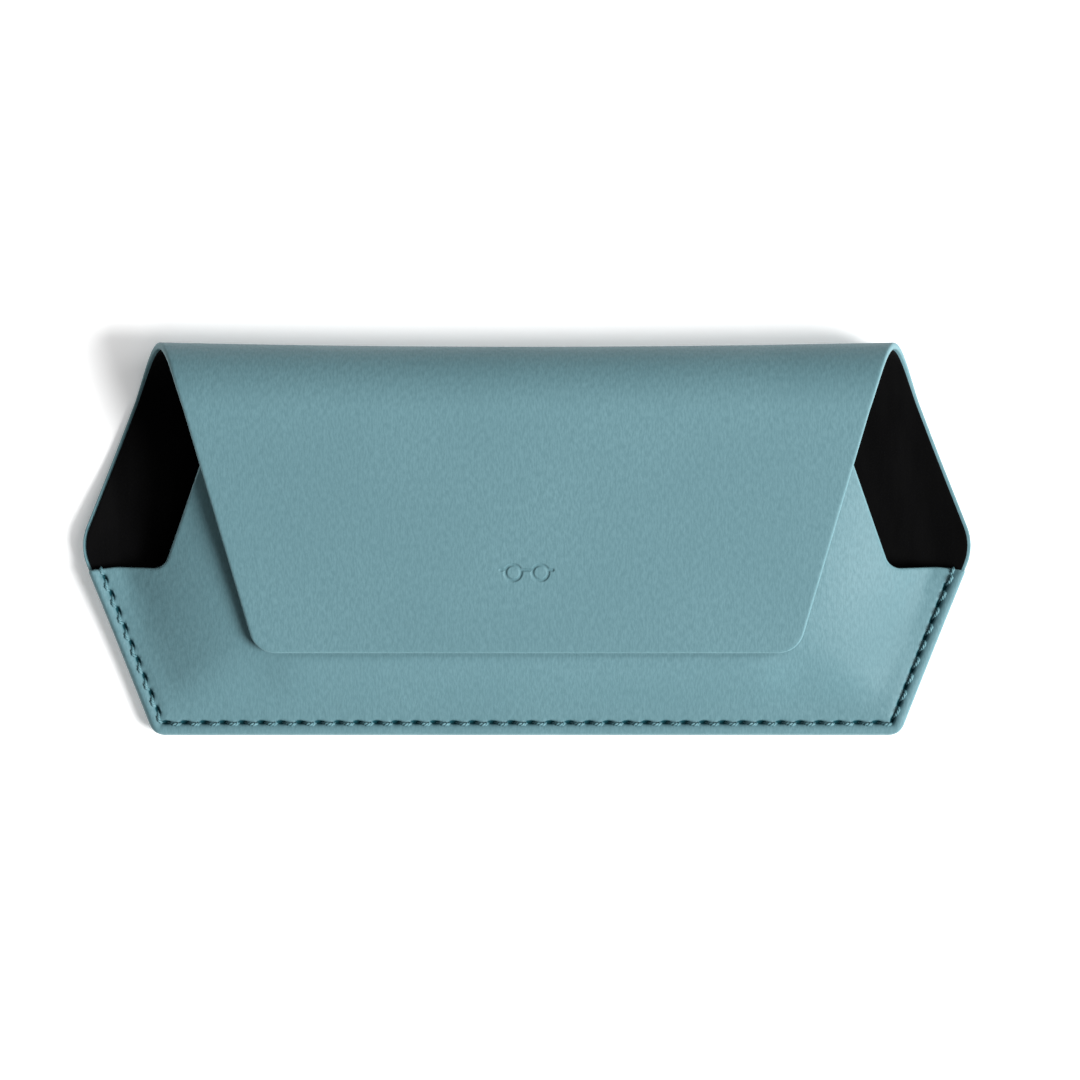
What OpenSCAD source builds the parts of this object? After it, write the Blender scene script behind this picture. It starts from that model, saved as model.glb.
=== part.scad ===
// Soft leather eyeglasses case: a sewn pocket, a rolled fold and a magnetic flap.
// Units are millimetres. The case lies on its back: X runs from tip to tip,
// Y towards the fold and Z up. The origin is under the middle of the closed case.

/* [Body] */
// Width from tip to tip, before the tips are rounded
tip_w = 166.8; // [160:0.2:176]
// Width of the straight bottom edge
end_w = 139; // [133:1:145]
// Height of the tips above the bottom edge
tip_h = 35.3; // [33:0.1:38]
// Width of the back where the fold starts
fold_start_w = 146.4; // [143:0.2:152]
// Depth from the bottom edge to the outside of the fold
depth = 72.6; // [70:0.2:77]
// Radius that rounds each tip
tip_r = 10; // [6:1:14]
// Radius that rounds each bottom corner
corner_r = 3.2; // [2:0.2:4]
// How far the tips curl up from the table
tip_lift = 2.6; // [0:0.2:3]

/* [Layers] */
// Thickness of the leather
leather_t = 1.3; // [1.2:0.1:1.5]
// Depth skived out of the leather for the stiffening boards and magnets
board_t = 0.8; // [0.6:0.1:0.9]
// Thickness of the lining
lining_t = 0.4; // [0.3:0.1:0.6]
// How far the lining stops short of the leather's cut edge
lining_inset = 0.7; // [0.6:0.1:1.4]

/* [Fold] */
// Outer radius of the rolled fold
fold_r = 10.5; // [9.5:0.5:11]
// How much each side of the fold narrows for each millimetre along it
fold_taper = 0.305; // [0.2:0.005:0.35]
// Slope of the closed flap, down towards its free edge
flap_slope = 12; // [11:0.5:13]

/* [Flap] */
// Length of the flap from the fold to its free edge
flap_len = 45.5; // [43.5:0.5:48]
// Width of the flap's free edge
flap_end_w = 100; // [92:1:106]
// Radius of the flap's two free corners
flap_corner_r = 4.8; // [2:0.2:8]
// Gap between the closed flap and the front panel
flap_gap = 0.3; // [0.3:0.05:0.6]

/* [Front panel] */
// Height of the front panel's sewn sides above the bottom edge
side_h = 30.7; // [28:0.1:32]
// Height of the front panel's hidden top edge above the bottom edge
front_h = 52; // [48:0.1:54]
// Width of the front panel's tab at the level of the side mouths
tab_w = 134.4; // [132:0.2:138]
// Width of the tab's top edge
tab_top_w = 118.6; // [114:0.2:122]
// Radius of the hollow corner between each side mouth and the tab
shoulder_r = 3; // [1:0.5:5]

/* [Seam] */
// Distance from the leather's edge to the row of stitches
seam_margin = 2.3; // [2:0.1:2.8]
// Longest spacing of the stitches
stitch_pitch = 3.6; // [3:0.1:4.4]
// Thickness of the sewing thread
thread_d = 0.7; // [0.5:0.1:0.8]

/* [Magnets] */
// Diameter of each closure magnet
magnet_d = 10; // [8:1:10]
// Distance of each magnet from the middle of the case
magnet_x = 32; // [20:1:33]

/* [Hidden] */
FOLD_STRIPS = 6;
$fn = 64;

LEATHER = [0.44, 0.59, 0.62];
LINING = [0.05, 0.05, 0.05];
BOARD = [0.62, 0.55, 0.44];
STEEL = [0.75, 0.76, 0.78];
THREAD = [0.20, 0.36, 0.39];

GLUE = 0.02;            // thickness of each film of glue
CUT = 0.1;              // how far a cutting shape runs past the face it cuts
ARC_STEPS = 6;          // straight pieces in each rounded corner of an outline

// Places on the cross-section
HALF_D = depth / 2;
FOLD_Y = HALF_D - fold_r;
FOLD_ARC = 180 + flap_slope;
STRIP_ARC = FOLD_ARC / FOLD_STRIPS;
FLAP_Y = FOLD_Y - fold_r * sin(flap_slope);
FLAP_Z = fold_r * (1 + cos(flap_slope));

// Heights in the flat stack of layers
PANEL_T = leather_t + GLUE + lining_t;
SLANT = 1 / cos(flap_slope);
FRONT_TOP = -PANEL_T - flap_gap;          // outer face of the front panel, below the flap's
SEAM_TOP = PANEL_T + 2 * GLUE + PANEL_T * SLANT;

// Half widths
TIP_X = tip_w / 2;
TIP_Y = tip_h - HALF_D;
END_X = end_w / 2;
SIDE_TAPER = (TIP_X - END_X) / tip_h;
FOLD_START_X = fold_start_w / 2;
FLAP_START_X = FOLD_START_X - fold_taper * fold_r * FOLD_ARC * PI / 180;
CURL_X = 71;            // the back lies flat inside this
CURL_STEPS = 9;

// The domed front panel
MOUTH_Y = side_h - HALF_D;
MOUTH_X = TIP_X + SIDE_TAPER * (MOUTH_Y - TIP_Y);
MOUTH_CORNER_R = 0.4;
CREST_SHARE = 0.35;     // each mouth's edge is highest at this share of its length from its outer end
CREST_X = MOUTH_X + CREST_SHARE * (tab_w / 2 - MOUTH_X);
CREST_RISE = 0.7;       // height of that place above the mouth's outer end
CREST_R = 12;
SHOULDER_RISE = 0.4;    // height of the hollow corner above the mouth's outer end
TAB_CORNER_R = 3;
SEAM_W = 5.2;           // width of the flat sewn border
BOTTOM_RISE = 0.6;      // slope of the panel above the bottom seam
SIDE_RISE = 0.5;        // slope of the panel inside the side seams
SEAM_BLEND = 1.2;       // heights over which the slopes run into each other
BOTTOM_BLEND = 2;
SIDE_BLEND = 6;
COLUMNS = 15;           // facets from the middle to each side of the panel
ROWS = 18;
OVERHANG = 1;           // how far the panel's surface runs past its outline before it is cut

// The boards and magnets, in the flap's own plane
BOARD_MARGIN = 3;
BACK_BOARD_MARGIN = 7;
FRONT_BOARD_X = 40;
FRONT_BOARD_Y = [-41.5, -12];
BOARD_CORNER_R = 3;
BOARD_SLACK = 0.1;      // room round each board and magnet
MAGNET_Y = -35.8;

// The seam
CHANNEL_D = thread_d + 0.1;
STITCH_GAP = 0.05;      // clearance between the thread and the leather
STITCH_DIP = 0.6 * thread_d;    // each stitch starts and ends this far from the middle of its hole

// A debossed pair of spectacles
MARK_Y = -30.2;
MARK_DEPTH = 0.25;
MARK_STROKE = 0.5;
MARK_LENS_R = 1.7;
MARK_LENS_X = 2.5;
MARK_HINGE = 0.8;       // length of the stub at each outer side
MARK_LAP = 0.2;         // how far a bar runs into the rim that it joins

// ---- Outlines: lists of [x, y, corner radius], anticlockwise ----

function unit(v) = v / norm(v);
function flat(p) = [p.x, p.y];
function before(pts, i) = pts[(i + len(pts) - 1) % len(pts)];
function after(pts, i) = pts[(i + 1) % len(pts)];
function inward(a, b) = let (d = unit(flat(b) - flat(a))) [-d.y, d.x];

// The whole outline from its right half, which runs from bottom to top
function mirrored(half) = concat(
    half,
    [for (i = [len(half) - 1:-1:0]) [-half[i].x, half[i].y, half[i].z]]
);

// The outline moved inwards by a margin
function inset(pts, margin) = [
    for (i = [0:len(pts) - 1])
        let (
            m = inward(before(pts, i), pts[i]),
            n = inward(pts[i], after(pts, i)),
            p = flat(pts[i]) + margin * (m + n) / (1 + m * n),
            bulge = sign(cross(m, n))
        )
        [p.x, p.y, pts[i].z == 0 ? 0 : max(pts[i].z - bulge * margin, 0)]
];

// The points that round one corner
function corner(a, p, b, r) = r == 0 ? [p] :
    let (
        u = unit(a - p),
        v = unit(b - p),
        half = acos(u * v) / 2,
        centre = p + unit(u + v) * r / sin(half),
        spoke = p + u * r / tan(half) - centre,
        turn = -sign(cross(u, v)) * (180 - 2 * half)
    )
    [
        for (i = [0:ARC_STEPS])
            let (t = turn * i / ARC_STEPS)
            centre + [spoke.x * cos(t) - spoke.y * sin(t), spoke.x * sin(t) + spoke.y * cos(t)]
    ];

function rounded(pts) = [
    for (i = [0:len(pts) - 1])
        each corner(flat(before(pts, i)), flat(pts[i]), flat(after(pts, i)), pts[i].z)
];

BACK = mirrored([
    [END_X, -HALF_D, corner_r],
    [TIP_X, TIP_Y, tip_r],
    [FOLD_START_X, FOLD_Y, 0]
]);

FRONT = mirrored([
    [END_X, -HALF_D, corner_r],
    [MOUTH_X, MOUTH_Y, MOUTH_CORNER_R],
    [CREST_X, MOUTH_Y + CREST_RISE, CREST_R],
    [tab_w / 2, MOUTH_Y + SHOULDER_RISE, shoulder_r],
    [tab_top_w / 2, front_h - HALF_D, TAB_CORNER_R]
]);

FLAP = mirrored([
    [flap_end_w / 2, -flap_len, flap_corner_r],
    [FLAP_START_X, 0, 0]
]);

FRONT_BOARD = mirrored([
    [FRONT_BOARD_X, FRONT_BOARD_Y[0], BOARD_CORNER_R],
    [FRONT_BOARD_X, FRONT_BOARD_Y[1], BOARD_CORNER_R]
]);

// The board in the back, square across its top
function back_board_outline(slack) = [
    for (p = inset(BACK, BACK_BOARD_MARGIN - slack)) [min(max(p.x, -CURL_X), CURL_X), p.y, 0]
];

// A lining's outline, inset from every edge but the one that runs on into the fold
function lining_outline(outline, fold_y) = [
    for (p = inset(outline, lining_inset)) [p.x, abs(p.y - fold_y) <= lining_inset + CUT ? fold_y : p.y, p.z]
];

// The runs of the seam: down the left side, along the bottom and up the right side
SEAM_LINE = inset(BACK, seam_margin);
SEAM_CORNER = flat(SEAM_LINE[0]);
SEAM_END = SEAM_CORNER + (flat(SEAM_LINE[1]) - SEAM_CORNER)
    * (MOUTH_Y - thread_d - SEAM_CORNER.y) / (SEAM_LINE[1].y - SEAM_CORNER.y);
SEAM_RUNS = [
    [[-SEAM_END.x, SEAM_END.y], [-SEAM_CORNER.x, SEAM_CORNER.y]],
    [[-SEAM_CORNER.x, SEAM_CORNER.y], SEAM_CORNER],
    [SEAM_CORNER, SEAM_END]
];

// ---- Surfaces ----

// Height of the back above the table, which curls up at the tips
function lift(x) = tip_lift * pow(max(abs(x) - CURL_X, 0) / (TIP_X - CURL_X), 2);

// Smooth minimum and maximum, rounded over a band w
function soft_min(a, b, w) = min(a, b) - pow(max(w - abs(a - b), 0), 2) / (4 * w);
function soft_max(a, b, w) = -soft_min(-a, -b, w);

// Distance from the sewn side edge, or from its upper end above the mouth
function from_side(x, y) =
    let (
        along = unit([TIP_X - END_X, tip_h]),
        d = [abs(x), y] - [MOUTH_X, MOUTH_Y]
    )
    d * along > 0 ? norm(d) : cross(along, d);

// Height of the front panel's outer face
function front_z(x, y) =
    let (
        base = SEAM_TOP + lift(x),
        plane = FLAP_Z + (y - FLAP_Y) * tan(flap_slope) + FRONT_TOP * SLANT,
        bottom = BOTTOM_RISE * (y + HALF_D - SEAM_W),
        side = SIDE_RISE * (from_side(x, y) - SEAM_W),
        dome = soft_min(soft_min(plane - base, side, SIDE_BLEND), bottom, BOTTOM_BLEND)
    )
    base + soft_max(dome, 0, SEAM_BLEND);

// ---- General shapes ----

module slab(outline, z, t) {
    translate([0, 0, z])
        linear_extrude(t)
            polygon(rounded(outline));
}

// Moves a shape drawn in the closed flap's own plane to its place
module on_flap() {
    translate([0, FLAP_Y, FLAP_Z])
        rotate([flap_slope, 0, 0])
            children();
}

// A length of thread from one point to another
module strand(a, b) {
    d = b - a;
    translate(a)
        rotate([0, acos(d.z / norm(d)), atan2(d.y, d.x)])
            cylinder(h = norm(d), d = thread_d, $fn = 8);
}

// A sheet in the back of the pocket, flat in the middle and curled at the tips
module curled_sheet(outline, z, t) {
    xs = [for (i = [0:CURL_STEPS]) CURL_X + (TIP_X - CURL_X) * i / CURL_STEPS];
    right = concat([0], xs);
    all_x = concat([for (i = [len(right) - 1:-1:1]) -right[i]], right);
    under = [for (x = all_x) [x, z + lift(x)]];
    over = [for (i = [len(all_x) - 1:-1:0]) [all_x[i], z + t + lift(all_x[i])]];
    intersection() {
        rotate([90, 0, 0])
            linear_extrude(depth * 2, center = true)
                polygon(concat(under, over));
        slab(outline, -CUT, tip_lift + 2 * PANEL_T);
    }
}

// A sheet that follows the domed front panel, from a depth below its outer face
module domed_sheet(outline, top, t) {
    xs = [for (j = [-COLUMNS:COLUMNS]) (1 + OVERHANG / END_X) * sin(90 * j / COLUMNS)];
    ys = [for (i = [0:ROWS]) -HALF_D - OVERHANG + (front_h + 3 * OVERHANG) * (1 - cos(90 * i / ROWS))];
    w = len(xs);
    count = w * len(ys);
    // each column runs up parallel to the sewn sides, then straight on
    over = [
        for (y = ys) for (t_x = xs)
            let (x = t_x * (TIP_X + SIDE_TAPER * min(y - TIP_Y, 0)))
            [x, y, front_z(x, y) - top * SLANT]
    ];
    under = [for (p = over) p - [0, 0, t * SLANT]];
    skin = [for (i = [0:len(ys) - 2]) for (j = [0:w - 2]) i * w + j];
    edge = concat(
        [for (j = [0:w - 2]) [j, j + 1]],
        [for (i = [0:len(ys) - 2]) [i * w + w - 1, (i + 1) * w + w - 1]],
        [for (j = [w - 1:-1:1]) [count - w + j, count - w + j - 1]],
        [for (i = [len(ys) - 1:-1:1]) [i * w, (i - 1) * w]]
    );
    intersection() {
        polyhedron(
            points = concat(over, under),
            faces = concat(
                [for (k = skin) each [[k, k + w, k + w + 1], [k, k + w + 1, k + 1]]],
                [for (k = skin) each [
                    [count + k, count + k + w + 1, count + k + w],
                    [count + k, count + k + 1, count + k + w + 1]
                ]],
                [for (e = edge) each [
                    [e[0], e[1], count + e[1]],
                    [e[0], count + e[1], count + e[0]]
                ]]
            ),
            convexity = 6
        );
        slab(outline, 0, FLAP_Z);
    }
}

// One strip of the fold, a sector of a ring with slanted ends
module fold_strip(i, r, t, margin) {
    half = STRIP_ARC / 2;
    middle = FOLD_START_X - margin - fold_taper * fold_r * (i - 0.5) * STRIP_ARC * PI / 180;
    slant = fold_taper * fold_r;
    translate([0, FOLD_Y, fold_r])
        rotate([-90 + (i - 0.5) * STRIP_ARC, 0, 0])
            intersection() {
                rotate([90, 0, 90])
                    linear_extrude(tip_w, center = true)
                        intersection() {
                            difference() {
                                circle(r);
                                circle(r - t);
                            }
                            polygon(2 * r * [[0, 0], [cos(half), -sin(half)], [cos(half), sin(half)]]);
                        }
                rotate([90, 0, 0])
                    linear_extrude(4 * r, center = true)
                        polygon([
                            [-middle - slant, -fold_r],
                            [middle + slant, -fold_r],
                            [middle - slant, fold_r],
                            [-middle + slant, fold_r]
                        ]);
            }
}

module magnet(x, z) {
    color(STEEL)
        on_flap()
            translate([x, MAGNET_Y, z])
                cylinder(h = board_t - 2 * GLUE, d = magnet_d);
}

module magnet_holes(z, t) {
    for (x = [-magnet_x, magnet_x])
        translate([x, MAGNET_Y, z])
            cylinder(h = t, d = magnet_d + 2 * BOARD_SLACK);
}

// ---- The pocket ----

// A channel under one run of the seam, where the bobbin thread lies in the back
module bobbin_channel(a, b) {
    d = b - a;
    past = thread_d;
    roof = [
        for (i = [CURL_STEPS:-1:0])
            let (s = -past + (norm(d) + 2 * past) * i / CURL_STEPS)
            [s, lift((a + unit(d) * s).x) + CHANNEL_D]
    ];
    translate([a.x, a.y, 0])
        rotate([90, 0, atan2(d.y, d.x)])
            linear_extrude(thread_d + 2 * STITCH_GAP, center = true)
                polygon(concat([[-past, -CUT], [norm(d) + past, -CUT]], roof));
}

// The height of the thread's middle, on the front panel or under the back
function stitch_z(p, under) = under
    ? lift(p.x) + CHANNEL_D - STITCH_GAP - thread_d / 2
    : front_z(p.x, p.y) + STITCH_GAP + thread_d / 2;

// One run of stitches from a to b
module stitches(a, b, under) {
    count = ceil(norm(b - a) / stitch_pitch);
    step = (b - a) / count;
    hole = unit(step) * STITCH_DIP;
    for (i = [0:count - 1]) {
        p = a + step * i + hole;
        q = a + step * (i + 1) - hole;
        strand([p.x, p.y, stitch_z(p, under)], [q.x, q.y, stitch_z(q, under)]);
    }
}

module back_leather() {
    color(LEATHER)
        difference() {
            curled_sheet(BACK, 0, leather_t);
            slab(back_board_outline(BOARD_SLACK), leather_t - board_t, board_t + CUT);
            for (run = SEAM_RUNS)
                bobbin_channel(run[0], run[1]);
        }
}

module back_board() {
    color(BOARD)
        slab(back_board_outline(0), leather_t - board_t + GLUE, board_t - 2 * GLUE);
}

module back_lining() {
    color(LINING)
        curled_sheet(lining_outline(BACK, FOLD_Y), leather_t + GLUE, lining_t);
}

module front_leather() {
    color(LEATHER)
        difference() {
            domed_sheet(FRONT, 0, leather_t);
            on_flap()
                slab(inset(FRONT_BOARD, -BOARD_SLACK), FRONT_TOP - leather_t - CUT, board_t + CUT);
        }
}

module front_board() {
    color(BOARD)
        on_flap()
            difference() {
                slab(FRONT_BOARD, FRONT_TOP - leather_t + GLUE, board_t - 2 * GLUE);
                magnet_holes(FRONT_TOP - leather_t - CUT, board_t + 2 * CUT);
            }
}

module front_lining() {
    color(LINING)
        domed_sheet(inset(FRONT, lining_inset), leather_t + GLUE, lining_t);
}

module front_magnet_left() {
    magnet(-magnet_x, FRONT_TOP - leather_t + GLUE);
}

module front_magnet_right() {
    magnet(magnet_x, FRONT_TOP - leather_t + GLUE);
}

module seam_needle_thread() {
    color(THREAD)
        for (run = SEAM_RUNS)
            stitches(run[0], run[1], false);
}

module seam_bobbin_thread() {
    color(THREAD)
        for (run = SEAM_RUNS)
            stitches(run[0], run[1], true);
}

// ---- The fold ----

module fold_leather(i) {
    color(LEATHER)
        fold_strip(i, fold_r, leather_t, 0);
}

module fold_lining(i) {
    color(LINING)
        fold_strip(i, fold_r - leather_t - GLUE, lining_t, lining_inset);
}

// ---- The flap ----

module mark() {
    translate([0, MARK_Y, -MARK_DEPTH])
        linear_extrude(MARK_DEPTH + CUT) {
            for (side = [-1, 1]) {
                translate([side * MARK_LENS_X, 0])
                    difference() {
                        circle(MARK_LENS_R);
                        circle(MARK_LENS_R - MARK_STROKE);
                    }
                translate([side * (MARK_LENS_X + MARK_LENS_R + MARK_HINGE / 2 - MARK_LAP), MARK_STROKE])
                    square([MARK_HINGE, MARK_STROKE], center = true);
            }
            translate([0, MARK_STROKE])
                square([2 * (MARK_LENS_X - MARK_LENS_R + MARK_LAP), MARK_STROKE], center = true);
        }
}

module flap_leather() {
    color(LEATHER)
        on_flap()
            difference() {
                slab(FLAP, -leather_t, leather_t);
                slab(inset(FLAP, BOARD_MARGIN - BOARD_SLACK), -leather_t - CUT, board_t + CUT);
                mark();
            }
}

module flap_board() {
    color(BOARD)
        on_flap()
            difference() {
                slab(inset(FLAP, BOARD_MARGIN), GLUE - leather_t, board_t - 2 * GLUE);
                magnet_holes(-leather_t - CUT, board_t + 2 * CUT);
            }
}

module flap_lining() {
    color(LINING)
        on_flap()
            slab(lining_outline(FLAP, 0), -PANEL_T, lining_t);
}

module flap_magnet_left() {
    magnet(-magnet_x, GLUE - leather_t);
}

module flap_magnet_right() {
    magnet(magnet_x, GLUE - leather_t);
}

back_leather();
back_board();
back_lining();
front_leather();
front_board();
front_lining();
front_magnet_left();
front_magnet_right();
seam_needle_thread();
seam_bobbin_thread();
for (i = [1:FOLD_STRIPS]) {
    fold_leather(i);
    fold_lining(i);
}
flap_leather();
flap_board();
flap_lining();
flap_magnet_left();
flap_magnet_right();
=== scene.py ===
"""A soft leather eyeglasses case, lying on its back with its flap closed.

The back, fold and flap are one leather blank. It is built flat, as it is cut, and then
wrapped round the fold. The lining is a smaller blank inside it. Shapes are worked out in
millimetres, in the CAD model's frame, and scaled to metres as each mesh is made.
"""

import math
import random

import bmesh
import bpy
import numpy as np
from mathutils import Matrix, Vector
from mathutils.geometry import delaunay_2d_cdt


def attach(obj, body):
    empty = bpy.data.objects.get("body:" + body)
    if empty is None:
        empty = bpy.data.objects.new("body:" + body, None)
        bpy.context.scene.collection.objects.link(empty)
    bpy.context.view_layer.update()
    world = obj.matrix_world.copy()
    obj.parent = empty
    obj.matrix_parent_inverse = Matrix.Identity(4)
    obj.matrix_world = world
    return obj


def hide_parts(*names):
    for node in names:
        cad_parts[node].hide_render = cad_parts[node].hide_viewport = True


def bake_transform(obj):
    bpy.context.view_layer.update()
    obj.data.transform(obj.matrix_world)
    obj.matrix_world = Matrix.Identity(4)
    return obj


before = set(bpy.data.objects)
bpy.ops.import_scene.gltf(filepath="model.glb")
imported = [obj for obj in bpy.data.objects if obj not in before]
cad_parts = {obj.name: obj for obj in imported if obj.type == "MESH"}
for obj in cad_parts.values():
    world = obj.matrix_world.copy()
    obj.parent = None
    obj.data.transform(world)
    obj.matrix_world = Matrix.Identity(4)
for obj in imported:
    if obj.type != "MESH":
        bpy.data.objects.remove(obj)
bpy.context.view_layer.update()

MM = 0.001
SEED = 7

# ---- Sizes, in millimetres, as in the CAD source. An _X is a distance from the middle ----

# The back's outline: sewn bottom corners, side tips, and where the fold starts
END_X = 69.5
TIP_X = 83.4
TIP_H = 35.3               # height of the tips above the bottom edge
HALF_D = 36.3              # half of the whole case's depth
FOLD_START_X = 73.2
TIP_R = 10
CORNER_R = 3.2
TIP_LIFT = 2.6             # the tips curl up this far
CURL_X = 71                # from here outwards

LEATHER_T = 1.3
BOARD_T = 0.8
LINING_T = 0.4
LINING_INSET = 0.7         # from the leather's cut edge
GLUE = 0.02
PANEL_T = LEATHER_T + GLUE + LINING_T

# The fold and the flap, which slopes down from it
FOLD_R = 10.5
FOLD_Y = HALF_D - FOLD_R
FOLD_TAPER = 0.305
FLAP_SLOPE = math.radians(12)
FOLD_LEN = FOLD_R * (math.pi + FLAP_SLOPE)
FLAP_Y = FOLD_Y - FOLD_R * math.sin(FLAP_SLOPE)
FLAP_Z = FOLD_R * (1 + math.cos(FLAP_SLOPE))
FLAP_START_X = FOLD_START_X - FOLD_TAPER * FOLD_LEN
FLAP_LEN = 45.5
FLAP_END_X = 50
FLAP_CORNER_R = 4.8
FLAP_GAP = 0.3             # between the flap's lining and the front panel
SLANT = 1 / math.cos(FLAP_SLOPE)

# The front panel: its side mouths rise to a crest and a shoulder, then to the tab
TIP_Y = TIP_H - HALF_D
SIDE_TAPER = (TIP_X - END_X) / TIP_H
MOUTH_Y = -5.6
MOUTH_X = TIP_X + SIDE_TAPER * (MOUTH_Y - TIP_Y)
MOUTH_CORNER_R = 0.4
CREST_SHARE = 0.35         # of the way along the mouth
CREST_RISE = 0.7
CREST_R = 12
SHOULDER_RISE = 0.4
SHOULDER_R = 3
TAB_X = 67.2
CREST_X = MOUTH_X + CREST_SHARE * (TAB_X - MOUTH_X)
TAB_TOP_X = 59.3
TAB_TOP_Y = 15.7
TAB_CORNER_R = 3
FRONT_TOP = -PANEL_T - FLAP_GAP
SEAM_TOP = PANEL_T + 2 * GLUE + PANEL_T * SLANT
SEAM_W = 5.2               # width of the flat border that is sewn down
BOTTOM_STEEPNESS = 0.6     # the dome rises from its borders at these slopes
SIDE_STEEPNESS = 0.5
SIDE_BLEND = 6             # and its faces run into each other over these heights
BOTTOM_BLEND = 2
SEAM_BLEND = 1.2

SEAM_MARGIN = 2.3
STITCH_PITCH = 3.6
THREAD_D = 0.7
CHANNEL_D = THREAD_D + 0.1
CHANNEL_W = 0.52

BOARD_MARGIN = 3
BACK_BOARD_MARGIN = 7
FRONT_BOARD_X = 40
FRONT_BOARD_Y = (-41.5, -12)
BOARD_CORNER_R = 3

# The debossed spectacles, on the flap's own plane
MARK_Y = -30.2
MARK_DEPTH = 0.25
MARK_STROKE = 0.5
MARK_WALL = (0.3 * MARK_STROKE, 0.75 * MARK_STROKE)    # how far out its wall slopes from and to
MARK_LENS_R = 1.7
MARK_LENS_X = 2.5
MARK_HINGE = 0.8

# The fold crosses one joint between each two neighbouring strips
FOLD_STRIPS = 6
JOINTS = FOLD_STRIPS + 1
JOINT_STEP = FOLD_LEN / FOLD_STRIPS
CUTS = [(k - 0.5) * JOINT_STEP for k in range(JOINTS + 1)]
BODIES = ["pocket"] + [f"fold_{k + 1}" for k in range(FOLD_STRIPS)] + ["flap"]

# ---- Looks that the CAD model doesn't hold ----

FOLD_FLARE = 0.35          # the roll stands out this far at its two ends
FOLD_BOW = 0.95            # and comes in this much by its middle
CURL_FADE = (-20.0, -2.0)  # the tips' curl dies away between these places below the fold
GROOVE_DEPTH = 0.16        # the stitches pull the leather down along their row
GROOVE_W = 0.6
DIMPLE_DEPTH = 0.90        # and further where each stitch comes up
DIMPLE_W = 0.36
DIMPLE_LONG = 0.96
DIMPLE_AT = (0.70, 0.14)   # the dimple's middle lies this far along the stitch and inwards
SQUEEZE = 0.4              # each leather is pressed this far towards the other at its sewn edge
PUFF = 0.30                # the sewn border swells between the stitches and the edge
PILLOW = 0.16              # and so does the panel just inside the stitches
PILLOW_AT = 2.2
PILLOW_W = 1.1
WELT = 0.75                # the panel swells in front of the flap's free edge
WELT_W = 1.0
WELT_GAP = 0.1
WELT_FADE = (3.5, 11.0)    # and comes down again between these distances from the edge
WELT_ENDS = (43.0, 50.0)   # it dies away between these distances from the middle
FACE_DEPTH = 0.1           # what lies shallower in the leather is its outer face
PRESS_FADE = 0.3           # what is pressed into the leather fades out at this depth
MARK_SHADE = 0.26          # how dark the mark and the channel are pressed, from 0 to 1
CHANNEL_SHADE = 0.3
SHARPEST = 0.25            # least radius of a corner in a ring of the mesh
ARC_STEPS = 8


# ---- Outlines: lists of (x, y, corner radius), anticlockwise ----

def mirrored(half):
    """The whole outline from its right half, which runs from bottom to top."""
    return half + [(-x, y, r) for x, y, r in reversed(half)]


def unit(v):
    return v / np.hypot(v[0], v[1])


def inset(outline, margin):
    """The outline moved inwards. Its outer corners get tighter and its hollow ones wider."""
    moved = []
    for i, (x, y, r) in enumerate(outline):
        here = np.array((x, y), float)
        a = unit(here - outline[i - 1][:2])
        b = unit(np.array(outline[(i + 1) % len(outline)][:2]) - here)
        m, n = np.array((-a[1], a[0])), np.array((-b[1], b[0]))
        p = here + margin * (m + n) / (1 + m @ n)
        outer = a[0] * b[1] > a[1] * b[0]
        radius = 0 if r == 0 else max(r - margin if outer else r + margin, SHARPEST)
        moved.append((p[0], p[1], radius))
    return moved


def corner(before, here, after, r):
    """The points that round one corner."""
    here = np.array(here, float)
    if r == 0:
        return [here]
    u, v = unit(before - here), unit(after - here)
    half = math.acos(np.clip(u @ v, -1, 1)) / 2
    centre = here + unit(u + v) * r / math.sin(half)
    spoke = here + u * r / math.tan(half) - centre
    turn = -np.sign(u[0] * v[1] - u[1] * v[0]) * (math.pi - 2 * half)
    points = []
    for i in range(ARC_STEPS + 1):
        c, s = math.cos(turn * i / ARC_STEPS), math.sin(turn * i / ARC_STEPS)
        points.append(centre + (spoke[0] * c - spoke[1] * s, spoke[0] * s + spoke[1] * c))
    return points


def corners(outline):
    count = len(outline)
    points = [np.array(p[:2], float) for p in outline]
    return [
        corner(points[i - 1], points[i], points[(i + 1) % count], outline[i][2])
        for i in range(count)
    ]


def counts_for(outline, spacing):
    """How many pieces each edge is divided into, the same for every ring of a sheet."""
    arcs = corners(outline)
    gaps = [arcs[(i + 1) % len(arcs)][0] - arc[-1] for i, arc in enumerate(arcs)]
    return [max(1, math.ceil(np.hypot(*g) / s)) for g, s in zip(gaps, spacing)]


def ring(outline, counts):
    """Points all round an outline: its corners' arcs, and each edge divided evenly."""
    arcs = corners(outline)
    points = []
    for i, arc in enumerate(arcs):
        start, end = arc[-1], arcs[(i + 1) % len(arcs)][0]
        points += arc
        points += [start + (end - start) * k / counts[i] for k in range(1, counts[i])]
    return np.array(points)


def shifted(outline, dy):
    return [(x, y + dy, r) for x, y, r in outline]


BACK = mirrored([
    (END_X, -HALF_D, CORNER_R),
    (TIP_X, TIP_Y, TIP_R),
    (FOLD_START_X, FOLD_Y, 0),
])

FRONT = mirrored([
    (END_X, -HALF_D, CORNER_R),
    (MOUTH_X, MOUTH_Y, MOUTH_CORNER_R),
    (CREST_X, MOUTH_Y + CREST_RISE, CREST_R),
    (TAB_X, MOUTH_Y + SHOULDER_RISE, SHOULDER_R),
    (TAB_TOP_X, TAB_TOP_Y, TAB_CORNER_R),
])

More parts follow.
